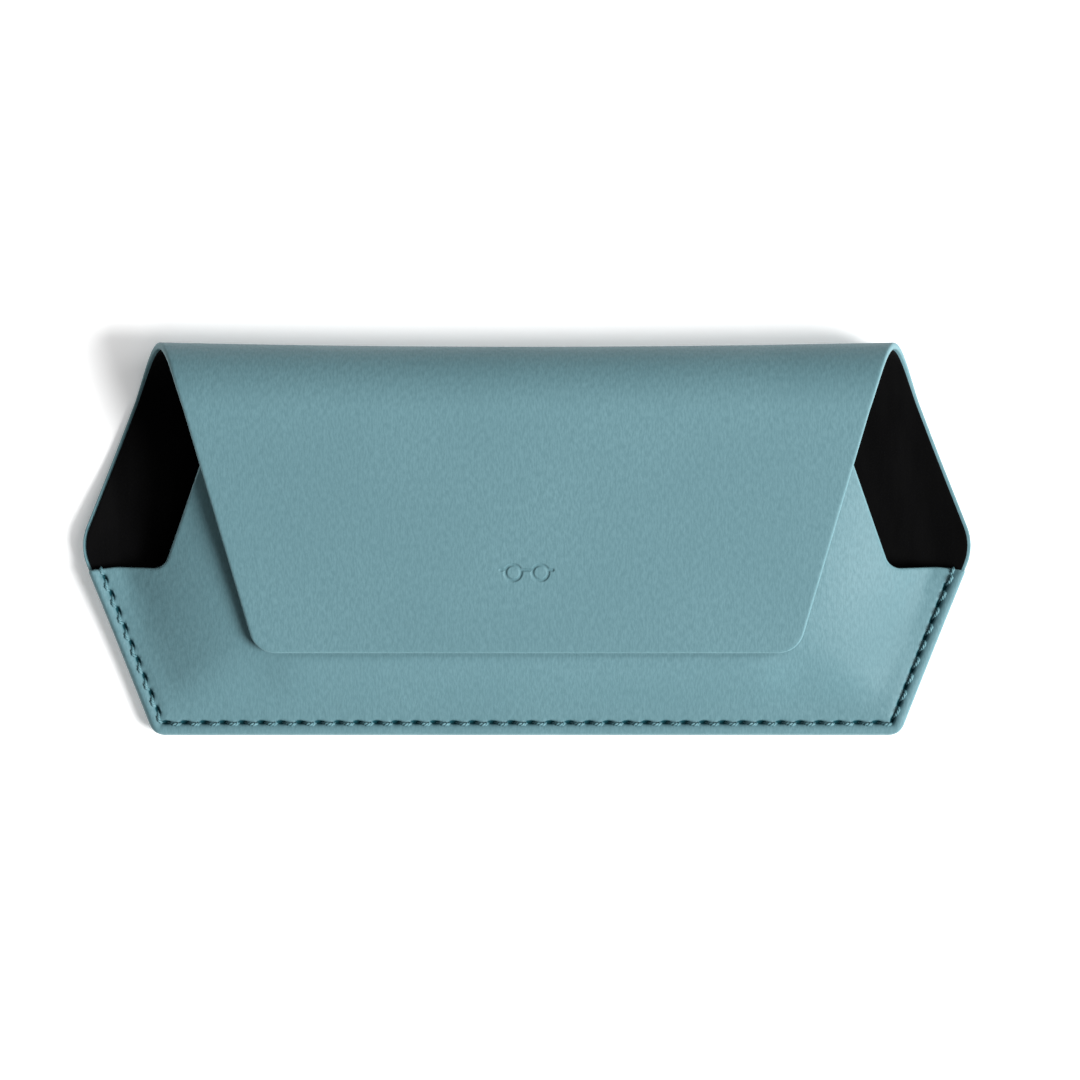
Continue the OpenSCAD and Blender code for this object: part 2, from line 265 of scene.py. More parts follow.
# The flat blank of back, fold and flap, measured upwards from where the fold starts
BLANK = mirrored([
    (END_X, -HALF_D - FOLD_Y, CORNER_R),
    (TIP_X, TIP_Y - FOLD_Y, TIP_R),
    (FOLD_START_X, 0, 0),
    (FLAP_START_X, FOLD_LEN, 0),
    (FLAP_END_X, FOLD_LEN + FLAP_LEN, FLAP_CORNER_R),
])

FLAP = mirrored([(FLAP_END_X, -FLAP_LEN, FLAP_CORNER_R), (FLAP_START_X, 0, 0)])


def back_board(slack):
    """The back's board on the blank, square across its top."""
    board = inset(BACK, BACK_BOARD_MARGIN - slack)
    return shifted([(float(np.clip(x, -CURL_X, CURL_X)), y, 0) for x, y, r in board], -FOLD_Y)


def flap_board(slack):
    """The flap's board on the blank, where the flap runs up from the fold."""
    board = inset(FLAP, BOARD_MARGIN - slack)
    return [(x, FOLD_LEN - y, r) for x, y, r in reversed(board)]


def front_board(slack):
    """The front panel's board, seen from above."""
    x = FRONT_BOARD_X + slack
    drop = (LEATHER_T - FRONT_TOP) * math.sin(FLAP_SLOPE)
    low, high = (FLAP_Y + y * math.cos(FLAP_SLOPE) + drop for y in FRONT_BOARD_Y)
    return mirrored([(x, low - slack, BOARD_CORNER_R), (x, high + slack, BOARD_CORNER_R)])


# ---- Surfaces ----

def smoothstep(x, low, high):
    t = np.clip((x - low) / (high - low), 0, 1)
    return t * t * (3 - 2 * t)


def lift(x):
    """Height of the back above the table, which curls up at the tips."""
    return TIP_LIFT * (np.maximum(np.abs(x) - CURL_X, 0) / (TIP_X - CURL_X)) ** 2


def soft_min(a, b, w):
    """The smaller of two values, with the crease between them rounded over w."""
    return np.minimum(a, b) - np.maximum(w - np.abs(a - b), 0) ** 2 / (4 * w)


def soft_max(a, b, w):
    return -soft_min(-a, -b, w)


def from_side(x, y):
    """Distance from the sewn side edge, or from its upper end above the mouth."""
    along = unit(np.array((TIP_X - END_X, TIP_H)))
    dx, dy = np.abs(x) - MOUTH_X, y - MOUTH_Y
    past = dx * along[0] + dy * along[1] > 0
    return np.where(past, np.hypot(dx, dy), along[0] * dy - along[1] * dx)


def front_z(x, y):
    """Height of the front panel's outer face, before it is sewn."""
    base = SEAM_TOP + lift(x)
    plane = FLAP_Z + (y - FLAP_Y) * math.tan(FLAP_SLOPE) + FRONT_TOP * SLANT
    bottom = BOTTOM_STEEPNESS * (y + HALF_D - SEAM_W)
    side = SIDE_STEEPNESS * (from_side(x, y) - SEAM_W)
    dome = soft_min(soft_min(plane - base, side, SIDE_BLEND), bottom, BOTTOM_BLEND)
    return base + soft_max(dome, 0, SEAM_BLEND)


def seam_runs():
    """The seam's three straight runs: down the left side, along the bottom, up the right."""
    line = inset(BACK, SEAM_MARGIN)
    low = np.array(line[0][:2])
    tip = np.array(line[1][:2])
    high = low + (tip - low) * (MOUTH_Y - THREAD_D - low[1]) / (tip[1] - low[1])
    flip = np.array((-1, 1))
    return [(high * flip, low * flip), (low * flip, low), (low, high)]


def holes_along(a, b):
    """Needle holes from a to b, at most a pitch apart."""
    count = math.ceil(np.hypot(*(b - a)) / STITCH_PITCH)
    return [a + (b - a) * i / count for i in range(count + 1)]


RUNS = [holes_along(a, b) for a, b in seam_runs()]


def dimples(x, y):
    """How deep the leather is pulled in at a place, from 0 to 1, by the nearest stitch's start."""
    depth = np.zeros(len(x))
    for run in RUNS:
        along = unit(run[1] - run[0])
        inward = np.array((-along[1], along[0]))
        starts = np.array(run[:-1]) + along * DIMPLE_AT[0] + inward * DIMPLE_AT[1]
        dx, dy = x[:, None] - starts[:, 0], y[:, None] - starts[:, 1]
        length = (dx * along[0] + dy * along[1]) / DIMPLE_LONG
        width = (dy * along[0] - dx * along[1]) / DIMPLE_W
        depth = np.maximum(depth, np.exp(-(length ** 2 + width ** 2) ** 1.5).max(axis=1))
    return depth


def from_edge(x, y):
    """Distance from the nearest sewn edge."""
    return np.minimum(y + HALF_D, from_side(x, y))


def welt(x, y):
    """How far the front panel swells in front of the flap, whose free edge presses into it."""
    off = np.maximum(FLAP_EDGE_Y - WELT_GAP - y, 0)
    rise = WELT * (1 - np.exp(-off / WELT_W)) * (1 - smoothstep(off, *WELT_FADE))
    return rise * (1 - smoothstep(np.abs(x), *WELT_ENDS))


def sewn(x, y):
    """What sewing adds to the front panel's height."""
    edge = from_edge(x, y)
    off = edge - SEAM_MARGIN
    groove = GROOVE_DEPTH * np.exp(-(off / GROOVE_W) ** 2)
    border = PUFF * np.sin(np.pi * np.clip(edge / SEAM_MARGIN, 0, 1))
    pillow = PILLOW * np.exp(-((off - PILLOW_AT) / PILLOW_W) ** 2)
    height = border + pillow - groove + welt(x, y)
    near = np.abs(off) < 3 * DIMPLE_W
    height[near] -= DIMPLE_DEPTH * dimples(x[near], y[near])
    return height


def front_hole_shade(x, y, n):
    """Painted shade in the front panel's stitch holes, from 0 to 1: the leather is darkened at each
    dimple.
    """
    pressed = np.zeros(len(x))
    near = (np.abs(from_edge(x, y) - SEAM_MARGIN) < 3 * DIMPLE_W) & (n < FACE_DEPTH)
    pressed[near] = dimples(x[near], y[near])
    return pressed


def squeeze(x, y):
    """How far a leather is pressed towards the other near its sewn edge."""
    return SQUEEZE * (1 - smoothstep(from_edge(x, y), 0, LINING_INSET))


def below_mouth(y):
    """1 below the level of the side mouths, and 0 above it."""
    return 1 - smoothstep(y, MOUTH_Y - 0.6, MOUTH_Y + 0.2)


def place_front(x, y, n):
    """From the front panel's plan and a depth below its outer face to the case."""
    outer = 1 - smoothstep(n, 0, LEATHER_T)
    z = front_z(x, y) - n * SLANT + outer * sewn(x, y) - squeeze(x, y)
    return np.column_stack((x, y, z))


def place_blank(u, v, n):
    """From the flat blank and a depth below its outer face to the closed case."""
    on_arc = np.clip(v, 0, FOLD_LEN)
    run = v - on_arc
    phi = on_arc / FOLD_R - math.pi / 2
    y = FOLD_Y + (FOLD_R - n) * np.cos(phi) - run * np.sin(phi)
    z = FOLD_R + (FOLD_R - n) * np.sin(phi) + run * np.cos(phi)
    z += lift(u) * (1 - smoothstep(v, *CURL_FADE))
    out = FOLD_FLARE - FOLD_BOW * (1 - np.clip(u / FOLD_START_X, -1, 1) ** 2)
    y += out * np.maximum(np.cos(phi), 0) ** 2
    return np.column_stack((u, y, z))


# Where the flap's free edge lies
FLAP_EDGE_Y = place_blank(np.zeros(1), np.array([FOLD_LEN + FLAP_LEN]), np.zeros(1))[0, 1]


def channel_depth(u, v):
    """Depth of the channel under the back, where the bobbin thread lies."""
    y = v + FOLD_Y
    off = (from_edge(u, y) - SEAM_MARGIN) / CHANNEL_W
    return CHANNEL_D * np.exp(-off ** 4) * below_mouth(y)


def mark_depth(x, y):
    """Depth of the debossed spectacles at a place on the flap's own plane."""
    side = np.abs(x)
    rim = np.abs(np.hypot(side - MARK_LENS_X, y - MARK_Y) - (MARK_LENS_R - MARK_STROKE / 2))
    bar_y = np.abs(y - MARK_Y - MARK_STROKE)
    bridge = np.hypot(np.maximum(side - (MARK_LENS_X - MARK_LENS_R), 0), bar_y)
    outer = MARK_LENS_X + MARK_LENS_R - MARK_STROKE / 2
    hinge_x = np.maximum(np.maximum(outer - side, side - outer - MARK_HINGE), 0)
    hinge = np.hypot(hinge_x, bar_y)
    gap = np.minimum(np.minimum(rim, bridge), hinge)
    return MARK_DEPTH * (1 - smoothstep(gap, *MARK_WALL))


# ---- Sheets: closed solids cut to an outline ----

CLEARANCE = 0.35           # least distance of an inner point from a line of the mesh
RECESS_RIM = (0.1, 0.3)    # the wall of a board's recess stands between these slacks
RECESS_SPACING = 3
SHARP_FROM = math.radians(50)


def is_inside(points, loop):
    """Which points lie inside a loop of points."""
    x, y = points[:, :1], points[:, 1:]
    a, b = loop, np.roll(loop, -1, axis=0)
    rise = np.where(a[:, 1] == b[:, 1], 1, b[:, 1] - a[:, 1])
    crossing = a[:, 0] + (y - a[:, 1]) * (b[:, 0] - a[:, 0]) / rise
    hits = ((a[:, 1] > y) != (b[:, 1] > y)) & (x < crossing)
    return hits.sum(axis=1) % 2 == 1


def is_clear(points, loop, gap):
    """Which points lie further than a gap from a loop of points."""
    d = np.hypot(points[:, :1] - loop[:, 0], points[:, 1:] - loop[:, 1])
    return d.min(axis=1) > gap


def fill(border, loops, lattice):
    """Triangles that fill a border through the loops' and the lattice's points."""
    lattice = lattice[is_inside(lattice, border)]
    lattice = lattice[is_clear(lattice, border, CLEARANCE)]
    for loop in loops:
        lattice = lattice[is_clear(lattice, loop, CLEARANCE)]
        assert is_inside(loop, border).all(), "a board's recess reaches the sheet's edge"
    points, edges = border, []
    for loop in [border] + loops:
        start = 0 if loop is border else len(points)
        points = points if loop is border else np.vstack((points, loop))
        size = len(loop)
        edges += [(start + i, start + (i + 1) % size) for i in range(size)]
    points = np.vstack((points, lattice))
    flat = [Vector(p) for p in points.tolist()]
    made = delaunay_2d_cdt(flat, edges, [], 1, 1e-5)
    found = np.array([tuple(p) for p in made[0]])
    return found, [tuple(f) for f in made[2]]


def board_loop(board, slack):
    """The line round a board's recess, at a distance from the board."""
    outline = board(slack)
    return ring(outline, counts_for(outline, [RECESS_SPACING] * len(outline)))


def walls(path, size, inwards):
    """Quads between neighbouring rings, whose first vertices are given along a path."""
    faces = []
    for a, b in zip(path, path[1:]):
        for i in range(size):
            j = (i + 1) % size
            quad = (a + i, a + j, b + j, b + i)
            faces.append(tuple(map(int, quad if inwards else quad[::-1])))
    return faces


def sheet(outline, spacing, outer, inner, lattice, boards=()):
    """A closed sheet in its own flat frame: (vertices x, y, depth; distances from the edge; faces).

    outer and inner are the steps of its rounded edge, as (distance in, depth): outer runs
    from the edge's crown to the flat of the outer face, and inner to the flat of the inner one.
    """
    counts = counts_for(outline, spacing)
    rings = [(ring(inset(outline, d), counts), d, n) for d, n in outer[:-1]]
    under = [(ring(inset(outline, d), counts), d, n) for d, n in inner[:-1]]
    size = len(rings[0][0])
    margin = outer[-1][0]
    border = ring(inset(outline, margin), counts)
    loops = [board_loop(board, slack) for board in boards for slack in RECESS_RIM]
    flat, triangles = fill(border, loops, lattice)
    recessed = np.zeros(len(flat), bool)
    for board in boards:
        recessed |= is_inside(flat, board_loop(board, sum(RECESS_RIM) / 2))

    stack = rings + [(flat, margin, outer[-1][1])] + under
    rows = [np.column_stack((p, np.full(len(p), n))) for p, d, n in stack]
    last = np.column_stack((flat, np.where(recessed, inner[-1][1] - BOARD_T, inner[-1][1])))
    vertices = np.vstack(rows + [last])
    rim = np.concatenate([np.full(len(p), d) for p, d, n in stack] + [np.full(len(flat), margin)])

    # the starts of each ring in the list, from the crown in to the outer and the inner face
    starts = np.cumsum([0] + [len(r) for r in rows])
    over = list(starts[: len(rings) + 1])
    below = [0] + list(starts[len(rings) + 1 : -1]) + [starts[-1]]
    faces = walls(over, size, False) + walls(below, size, True)
    faces += [tuple(int(over[-1] + i) for i in reversed(t)) for t in triangles]
    faces += [tuple(int(below[-1] + i) for i in t) for t in triangles]
    return vertices, rim, faces


def flat_mesh(vertices, rim, faces):
    """A bmesh of a flat sheet, with its distances from the edge in a layer."""
    mesh = bpy.data.meshes.new("flat")
    mesh.from_pydata(vertices.tolist(), [], faces)
    mesh.attributes.new("rim", "FLOAT", "POINT").data.foreach_set("value", rim.astype(np.float32))
    bm = bmesh.new()
    bm.from_mesh(mesh)
    bpy.data.meshes.remove(mesh)
    return bm


def cut(bm, low, high):
    """Keeps what lies between two places along the blank, and closes each cut."""
    for at, above in ((low, False), (high, True)):
        if at is None:
            continue
        parts = bm.verts[:] + bm.edges[:] + bm.faces[:]
        made = bmesh.ops.bisect_plane(
            bm, geom=parts, dist=1e-6, plane_co=(0, at, 0), plane_no=(0, 1, 0),
            clear_outer=above, clear_inner=not above,
        )
        edges = [e for e in made["geom_cut"] if isinstance(e, bmesh.types.BMEdge)]
        bmesh.ops.holes_fill(bm, edges=edges, sides=0)


def finish_mesh(bm, name, place, material, pressed=None):
    """Makes an object: the flat sheet's x and y become its UV map, and place() shapes it."""
    bmesh.ops.recalc_face_normals(bm, faces=bm.faces)
    mesh = bpy.data.meshes.new(name)
    bm.to_mesh(mesh)
    bm.free()
    co = np.zeros(len(mesh.vertices) * 3)
    mesh.vertices.foreach_get("co", co)
    co = co.reshape(-1, 3)
    corner_vertex = np.zeros(len(mesh.loops), np.int32)
    mesh.loops.foreach_get("vertex_index", corner_vertex)
    uv = mesh.uv_layers.new(name="flat")
    uv.data.foreach_set("uv", (co[corner_vertex, :2] * MM).ravel())
    shaped = place(co[:, 0], co[:, 1], co[:, 2]) * MM
    mesh.vertices.foreach_set("co", shaped.ravel())
    # a "pressed" layer darkens the leather: the pressed mark and channel, and painted shade in the
    # stitch holes
    if pressed:
        shade = pressed(co[:, 0], co[:, 1], co[:, 2]).astype(np.float32)
        mesh.attributes.new("pressed", "FLOAT", "POINT").data.foreach_set("value", shade)
    mesh.materials.append(material)
    fixed = bmesh.new()
    fixed.from_mesh(mesh)
    bmesh.ops.recalc_face_normals(fixed, faces=fixed.faces)
    bmesh.ops.triangulate(fixed, faces=[f for f in fixed.faces if len(f.verts) > 4])
    fixed.to_mesh(mesh)
    fixed.free()
    mesh.polygons.foreach_set("use_smooth", [True] * len(mesh.polygons))
    mesh.set_sharp_from_angle(angle=SHARP_FROM)
    obj = bpy.data.objects.new(name, mesh)
    bpy.context.scene.collection.objects.link(obj)
    return obj


def grid(xs, ys):
    """Points at every crossing of some columns and rows."""
    x, y = np.meshgrid(xs, ys)
    return np.column_stack((x.ravel(), y.ravel()))


def spread(low, high, step):
    """Evenly spaced values from low to high, about a step apart."""
    return np.linspace(low, high, max(2, round((high - low) / step) + 1))


# ---- Materials ----

class Nodes:
    """A material's node tree, with short calls for what the materials here need.

    Textures follow the piece in metres, so a scale is a number of grains to the metre.
    """

    def __init__(self, name):
        self.material = bpy.data.materials.new(name)
        self.material.use_nodes = True
        self.tree = self.material.node_tree
        self.shader = self.tree.nodes["Principled BSDF"]

    def add(self, kind, inputs=(), **settings):
        node = self.tree.nodes.new(kind)
        for key, value in settings.items():
            setattr(node, key, value)
        for key, value in dict(inputs).items():
            if isinstance(value, bpy.types.NodeSocket):
                self.tree.links.new(value, node.inputs[key])
            else:
                node.inputs[key].default_value = value
        return node

    def set(self, **values):
        for key, value in values.items():
            socket = self.shader.inputs[key.replace("_", " ")]
            if isinstance(value, bpy.types.NodeSocket):
                self.tree.links.new(value, socket)
            else:
                socket.default_value = value

    def scaled(self, vector, scale):
        return self.add("ShaderNodeMapping", {"Vector": vector, "Scale": scale}).outputs["Vector"]

    def noise(self, vector, scale, detail=3.0, roughness=0.5):
        values = {"Vector": vector, "Scale": scale, "Detail": detail, "Roughness": roughness}
        return self.add("ShaderNodeTexNoise", values).outputs["Fac"]

    def cells(self, vector, scale, feature="SMOOTH_F1", smooth=0.4):
        values = {"Vector": vector, "Scale": scale}
        if feature == "SMOOTH_F1":
            values["Smoothness"] = smooth
        return self.add("ShaderNodeTexVoronoi", values, feature=feature).outputs["Distance"]

    def span(self, value, low, high, to_low=0.0, to_high=1.0):
        """Maps low to to_low and high to to_high, smoothly and no further."""
        values = {"Value": value, "From Min": low, "From Max": high}
        values |= {"To Min": to_low, "To Max": to_high}
        node = self.add("ShaderNodeMapRange", values, interpolation_type="SMOOTHSTEP")
        return node.outputs["Result"]

    def math(self, operation, a, b):
        return self.add("ShaderNodeMath", {0: a, 1: b}, operation=operation).outputs["Value"]

    def mix(self, factor, a, b):
        node = self.add("ShaderNodeMix", data_type="RGBA")
        self.tree.links.new(factor, node.inputs["Factor"])
        for key, value in (("A", a), ("B", b)):
            socket = [s for s in node.inputs if s.name == key and s.type == "RGBA"][0]
            if isinstance(value, tuple):
                socket.default_value = (*value, 1)
            else:
                self.tree.links.new(value, socket)
        return [s for s in node.outputs if s.type == "RGBA"][0]

    def bump(self, height, distance, strength):
        values = {"Height": height, "Distance": distance, "Strength": strength}
        return self.add("ShaderNodeBump", values).outputs["Normal"]


def linear(r, g, b):
    """A colour given as 0 to 255, as a screen shows it."""
    def channel(c):
        c /= 255
        return c / 12.92 if c <= 0.04045 else ((c + 0.055) / 1.055) ** 2.4
    return channel(r), channel(g), channel(b)


TEAL_LIGHT = linear(95, 128, 135)
TEAL_DARK = linear(91, 124, 131)
TEAL_STREAK = linear(80, 113, 120)
# lighter edge colour: edge wear, and a painted highlight on the rounded cut edges
TEAL_EDGE = linear(114, 150, 157)
# near-black teal: darker pressed leather in the mark and channel, and painted shade in the stitch
# holes
TEAL_PRESSED_AND_HOLE_SHADE = linear(12, 60, 68)


def leather_material():
    """Smooth, satin leather: a fine pebbled grain, faint streaks along the hide, edge wear with a
    painted highlight, and painted shade in the stitch holes.
    """
    n = Nodes("teal_leather")
    flat = n.add("ShaderNodeUVMap", uv_map="flat").outputs["UV"]
    streaks = n.noise(n.scaled(flat, (3000, 800, 1)), 1.0, 2.0, 0.6)
    clouds = n.noise(flat, 28.0, 3.0)
    pores = n.cells(flat, 1500.0)
    pebbles = n.cells(flat, 900.0, smooth=0.7)
    fine = n.noise(flat, 2600.0, 2.0)

    colour = n.mix(n.span(clouds, 0.35, 0.65), TEAL_DARK, TEAL_LIGHT)
    colour = n.mix(n.span(streaks, 0.35, 0.65, 0.6, 0.0), colour, TEAL_STREAK)
    pore_shade = n.span(pores, 0.45, 0.05, 0.0, 0.10)
    colour = n.mix(pore_shade, colour, TEAL_DARK)
    # the cut edges turn lighter: edge wear, and a painted highlight where their rounding would
    # catch the light
    rim = n.add("ShaderNodeAttribute", attribute_name="rim").outputs["Fac"]
    edge_wear_and_highlight = n.math("MULTIPLY", n.span(rim, 0.45, 0.05), n.span(clouds, 0.2, 0.6, 0.55, 0.8))
    colour = n.mix(edge_wear_and_highlight, colour, TEAL_EDGE)
    # darker where pressed: real pressed leather in the mark and channel, painted shade in the
    # stitch holes
    pressed = n.add("ShaderNodeAttribute", attribute_name="pressed").outputs["Fac"]
    colour = n.mix(n.span(pressed, 0.15, 0.6, 0.0, 0.97), colour, TEAL_PRESSED_AND_HOLE_SHADE)

    relief = n.math("ADD", n.math("MULTIPLY", pebbles, 0.6), n.math("MULTIPLY", streaks, 0.25))
    relief = n.math("ADD", relief, n.math("MULTIPLY", fine, 0.15))
    gloss = n.span(clouds, 0.3, 0.7, 0.50, 0.42)
    gloss = n.math("ADD", gloss, n.math("MULTIPLY", fine, 0.08))
    n.set(Base_Color=colour, Roughness=gloss, Normal=n.bump(relief, 0.00012, 0.8))
    n.set(**{"Specular IOR Level": 0.12})
    return n.material


def lining_material():
    """Black microfibre cloth with a short nap."""
    n = Nodes("black_lining")
    flat = n.add("ShaderNodeUVMap", uv_map="flat").outputs["UV"]
    nap = n.noise(flat, 3200.0, 3.0, 0.7)
    brushed = n.noise(n.scaled(flat, (260, 60, 1)), 1.0, 3.0)
    shade = n.mix(n.span(brushed, 0.3, 0.7), (0.0010, 0.0010, 0.0011), (0.0020, 0.0020, 0.0021))
    shade = n.mix(n.span(nap, 0.45, 0.8, 0.0, 0.5), shade, (0.0040, 0.0040, 0.0042))
    n.set(Base_Color=shade, Roughness=0.95, Normal=n.bump(nap, 0.00012, 0.6))
    n.set(**{"Specular IOR Level": 0.05, "Sheen Weight": 0.004, "Sheen Roughness": 0.6})
    return n.material


def thread_material():
    """Waxed polyester thread, close to the leather's colour."""
    n = Nodes("teal_thread")
    where = n.add("ShaderNodeTexCoord").outputs["Object"]
    fibres = n.noise(where, 5200.0, 3.0, 0.7)
    tone = n.noise(where, 300.0, 2.0)
    colour = n.mix(n.span(tone, 0.3, 0.7), linear(78, 118, 126), linear(92, 132, 140))
    colour = n.mix(n.span(fibres, 0.5, 0.8, 0.0, 0.5), colour, linear(136, 176, 182))
    n.set(Base_Color=colour, Roughness=n.span(fibres, 0.3, 0.7, 0.45, 0.6))
    n.set(Normal=n.bump(fibres, 0.00004, 0.6))
    return n.material


def board_material():
    """Grey-brown card, with pressed fibres and flecks."""
    n = Nodes("pressed_board")
    where = n.add("ShaderNodeTexCoord").outputs["Object"]
    fibres = n.noise(n.scaled(where, (220, 900, 900)), 1.0, 4.0, 0.65)
    flecks = n.cells(where, 420.0, "F1")
    colour = n.mix(n.span(fibres, 0.3, 0.7), linear(140, 126, 104), linear(172, 158, 134))
    colour = n.mix(n.span(flecks, 0.12, 0.02, 0.0, 0.6), colour, linear(96, 82, 62))
    n.set(Base_Color=colour, Roughness=n.span(fibres, 0.3, 0.7, 0.8, 0.95))
    n.set(Normal=n.bump(fibres, 0.00008, 0.5))
    return n.material


def magnet_material():
    """Nickel plate with turning marks and light scuffs."""
    n = Nodes("nickel_plate")
    where = n.add("ShaderNodeTexCoord").outputs["Object"]
    scuffs = n.noise(n.scaled(where, (2400, 300, 300)), 1.0, 4.0, 0.7)
    stains = n.noise(where, 260.0, 3.0)
    colour = n.mix(n.span(stains, 0.3, 0.7), linear(186, 184, 178), linear(208, 207, 203))
    n.set(Base_Color=colour, Roughness=n.span(scuffs, 0.3, 0.7, 0.18, 0.38))
    n.set(Normal=n.bump(scuffs, 0.00001, 0.4), Metallic=1.0)
    return n.material


# ---- Leather and lining ----

LEATHER = leather_material()
LINING = lining_material()
THREAD = thread_material()

# Steps of the rounded cut edges, as (distance in, depth)
LEATHER_EDGE = [(0, LEATHER_T / 2), (0.06, 0.36), (0.18, 0.14), (0.34, 0.03), (0.55, 0)]
LEATHER_INNER_EDGE = [(0.05, 0.96), (0.14, 1.18), (0.3, 1.28)]
LINING_OUTER = [(0, LINING_T / 2), (0.06, 0.06), (0.16, 0), (0.6, 0)]
LINING_INNER = [(0.06, 0.34), (0.16, LINING_T), (0.6, LINING_T)]

# Distances from the cut edge of the mesh's lines: closed rings across the stitches,
# then rows further in. WELT_ROWS are measured from under the flap's free edge.
SEAM_RINGS = [0.9, 1.25, 1.55, 1.8, 2.0, 2.15, 2.3, 2.45, 2.6]
SEAM_ROWS = [3.0, 3.4, 3.9, 4.5, 5.3]
WELT_ROWS = [-0.2, 0.1, 0.35, 0.65, 1.0, 1.4, 1.9, 2.6, 3.5, 4.6, 5.8]
LEATHER_OUTER = LEATHER_EDGE + [(d, 0) for d in SEAM_RINGS]
LEATHER_INNER = LEATHER_INNER_EDGE + [(SEAM_RINGS[-1], LEATHER_T)]

# Steps between the mesh's rows and columns
FLAT_STEP = 3
CUT_GAP = 0.05             # a row lies this far to either side of each cut
MARK_STEP = 0.13
MARK_BORDER = 0.6
FRONT_STEPS = (3.2, 2.6)
WELT_STEP = 2.4

BLEND_SHARE = 0.98         # of each fold piece, so that its turn ends inside its cuts


def blank_lattice(row, column):
    """The blank's inner points: close rows over the fold, and a pair of rows at each cut."""
    low, high = -HALF_D - FOLD_Y, FOLD_LEN + FLAP_LEN
    xs = spread(-TIP_X, TIP_X, column)
    back_rows = spread(low, CUTS[0] - 1, FLAT_STEP)
    flap_rows = spread(CUTS[-1] + 1, high, FLAT_STEP)
    fold_rows = spread(CUTS[0] - 0.8, CUTS[-1] + 0.8, row)
    fold_rows = [v for v in fold_rows if min(abs(v - c) for c in CUTS) > 4 * CUT_GAP]
    pairs = [c + d for c in CUTS for d in (-CUT_GAP, CUT_GAP)]
    rows = np.concatenate((back_rows, flap_rows, fold_rows, pairs))
    tip_xs, tip_rows = np.arange(CURL_X, TIP_X, 1.0), np.arange(low, 0, 2.0)
    return np.vstack((grid(xs, rows), grid(-tip_xs, tip_rows), grid(tip_xs, tip_rows)))


def seam_rows(outline, spacing, top):
    """Rows of points beside the sewn edges, which end at the side mouths."""
    counts = counts_for(outline, spacing)
    rows = np.vstack([ring(inset(outline, d), counts) for d in SEAM_ROWS])
    return rows[rows[:, 1] < top - SEAM_ROWS[0]]


def mark_reach(border):
    """Half the width and half the height of the mark with a border round it."""
    return MARK_LENS_X + MARK_LENS_R + MARK_HINGE + border, MARK_LENS_R + border


def mark_lattice():
    """Close points on the flap under the debossed mark."""
    wide, tall = mark_reach(MARK_BORDER)
    xs = spread(-wide, wide, MARK_STEP)
    ys = spread(MARK_Y - tall, MARK_Y + tall, MARK_STEP)
    return grid(xs, FOLD_LEN - ys)


def away_from_mark(points):
    """The points that the mark's own lattice doesn't replace."""
    wide, tall = mark_reach(2 * MARK_BORDER)
    near = (np.abs(points[:, 0]) < wide) & (np.abs(points[:, 1] - FOLD_LEN + MARK_Y) < tall)
    return points[~near]


def place_leather(u, v, n):
    """The outer leather, with the mark and the bobbin thread's channel pressed into it."""
    outer = 1 - smoothstep(n, 0, PRESS_FADE)
    pressed = mark_depth(u, FOLD_LEN - v) + channel_depth(u, v)
    points = place_blank(u, v, n + outer * pressed)
    points[:, 2] += squeeze(u, v + FOLD_Y) * below_mouth(v + FOLD_Y)
    return points


def leather_pressed(u, v, n):
    """Where the outer leather is pressed dark, from 0 to 1."""
    mark = MARK_SHADE * mark_depth(u, FOLD_LEN - v) / MARK_DEPTH
    channel = CHANNEL_SHADE * channel_depth(u, v) / CHANNEL_D
    return (mark + channel) * (n < FACE_DEPTH)


def place_lining(u, v, n):
    return place_blank(u, v, n + LEATHER_T + GLUE)


def make_blank(stem, parts, place, material, radii, pressed=None):
    """Cuts a blank at the joints. The back goes with the pocket and the flap with the flap; the
    fold pieces stay where they are.
    """
    whole = flat_mesh(*parts)
    made = {}
    for k, (low, high) in enumerate(zip([None] + CUTS, CUTS + [None])):
        name = f"{stem}_back" if k == 0 else f"{stem}_flap" if k > JOINTS else f"{stem}_fold_{k}"
        bm = whole.copy()
        cut(bm, low, high)
        piece = finish_mesh(bm, name, place, material, pressed)
        made[name] = piece
        if k == 0:
            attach(piece, BODIES[0])
        elif k > JOINTS:
            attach(piece, BODIES[-1])
        else:
            start, end = blend_ends(k, radii)
            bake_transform(piece)
    whole.free()
    return made


def blend_ends(k, radii):
    """Where piece k of the fold starts and stops turning, so that its cut faces stay whole."""
    outer, inner = radii
    mean = (outer + inner) / 2
    ends = place_blank(np.zeros(2), np.array(CUTS[k - 1 : k + 1]), np.full(2, FOLD_R - mean))
    centre = ends.mean(axis=0)
    share = BLEND_SHARE * inner / mean
    return [tuple((centre + (p - centre) * share) * MM) for p in ends]


def make_leather():
    """The blank's leather. spacing is how far apart points lie on each edge of the outline."""
    spacing = [0.4, 1.1, 0.6, 1.5, 1.5, 1.5, 0.6, 1.1, 0.4, 0.4]
    rows = seam_rows(BLANK, spacing, MOUTH_Y - FOLD_Y)
    lattice = np.vstack((away_from_mark(blank_lattice(0.55, 4.2)), mark_lattice(), rows))
    parts = sheet(BLANK, spacing, LEATHER_OUTER, LEATHER_INNER, lattice, (back_board, flap_board))
    radii = (FOLD_R, FOLD_R - LEATHER_T)
    made = make_blank("leather", parts, place_leather, LEATHER, radii, leather_pressed)
    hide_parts("back_leather")
    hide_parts("flap_leather")
    for k in range(1, FOLD_STRIPS + 1):
        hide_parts(f"fold_leather_{k}")


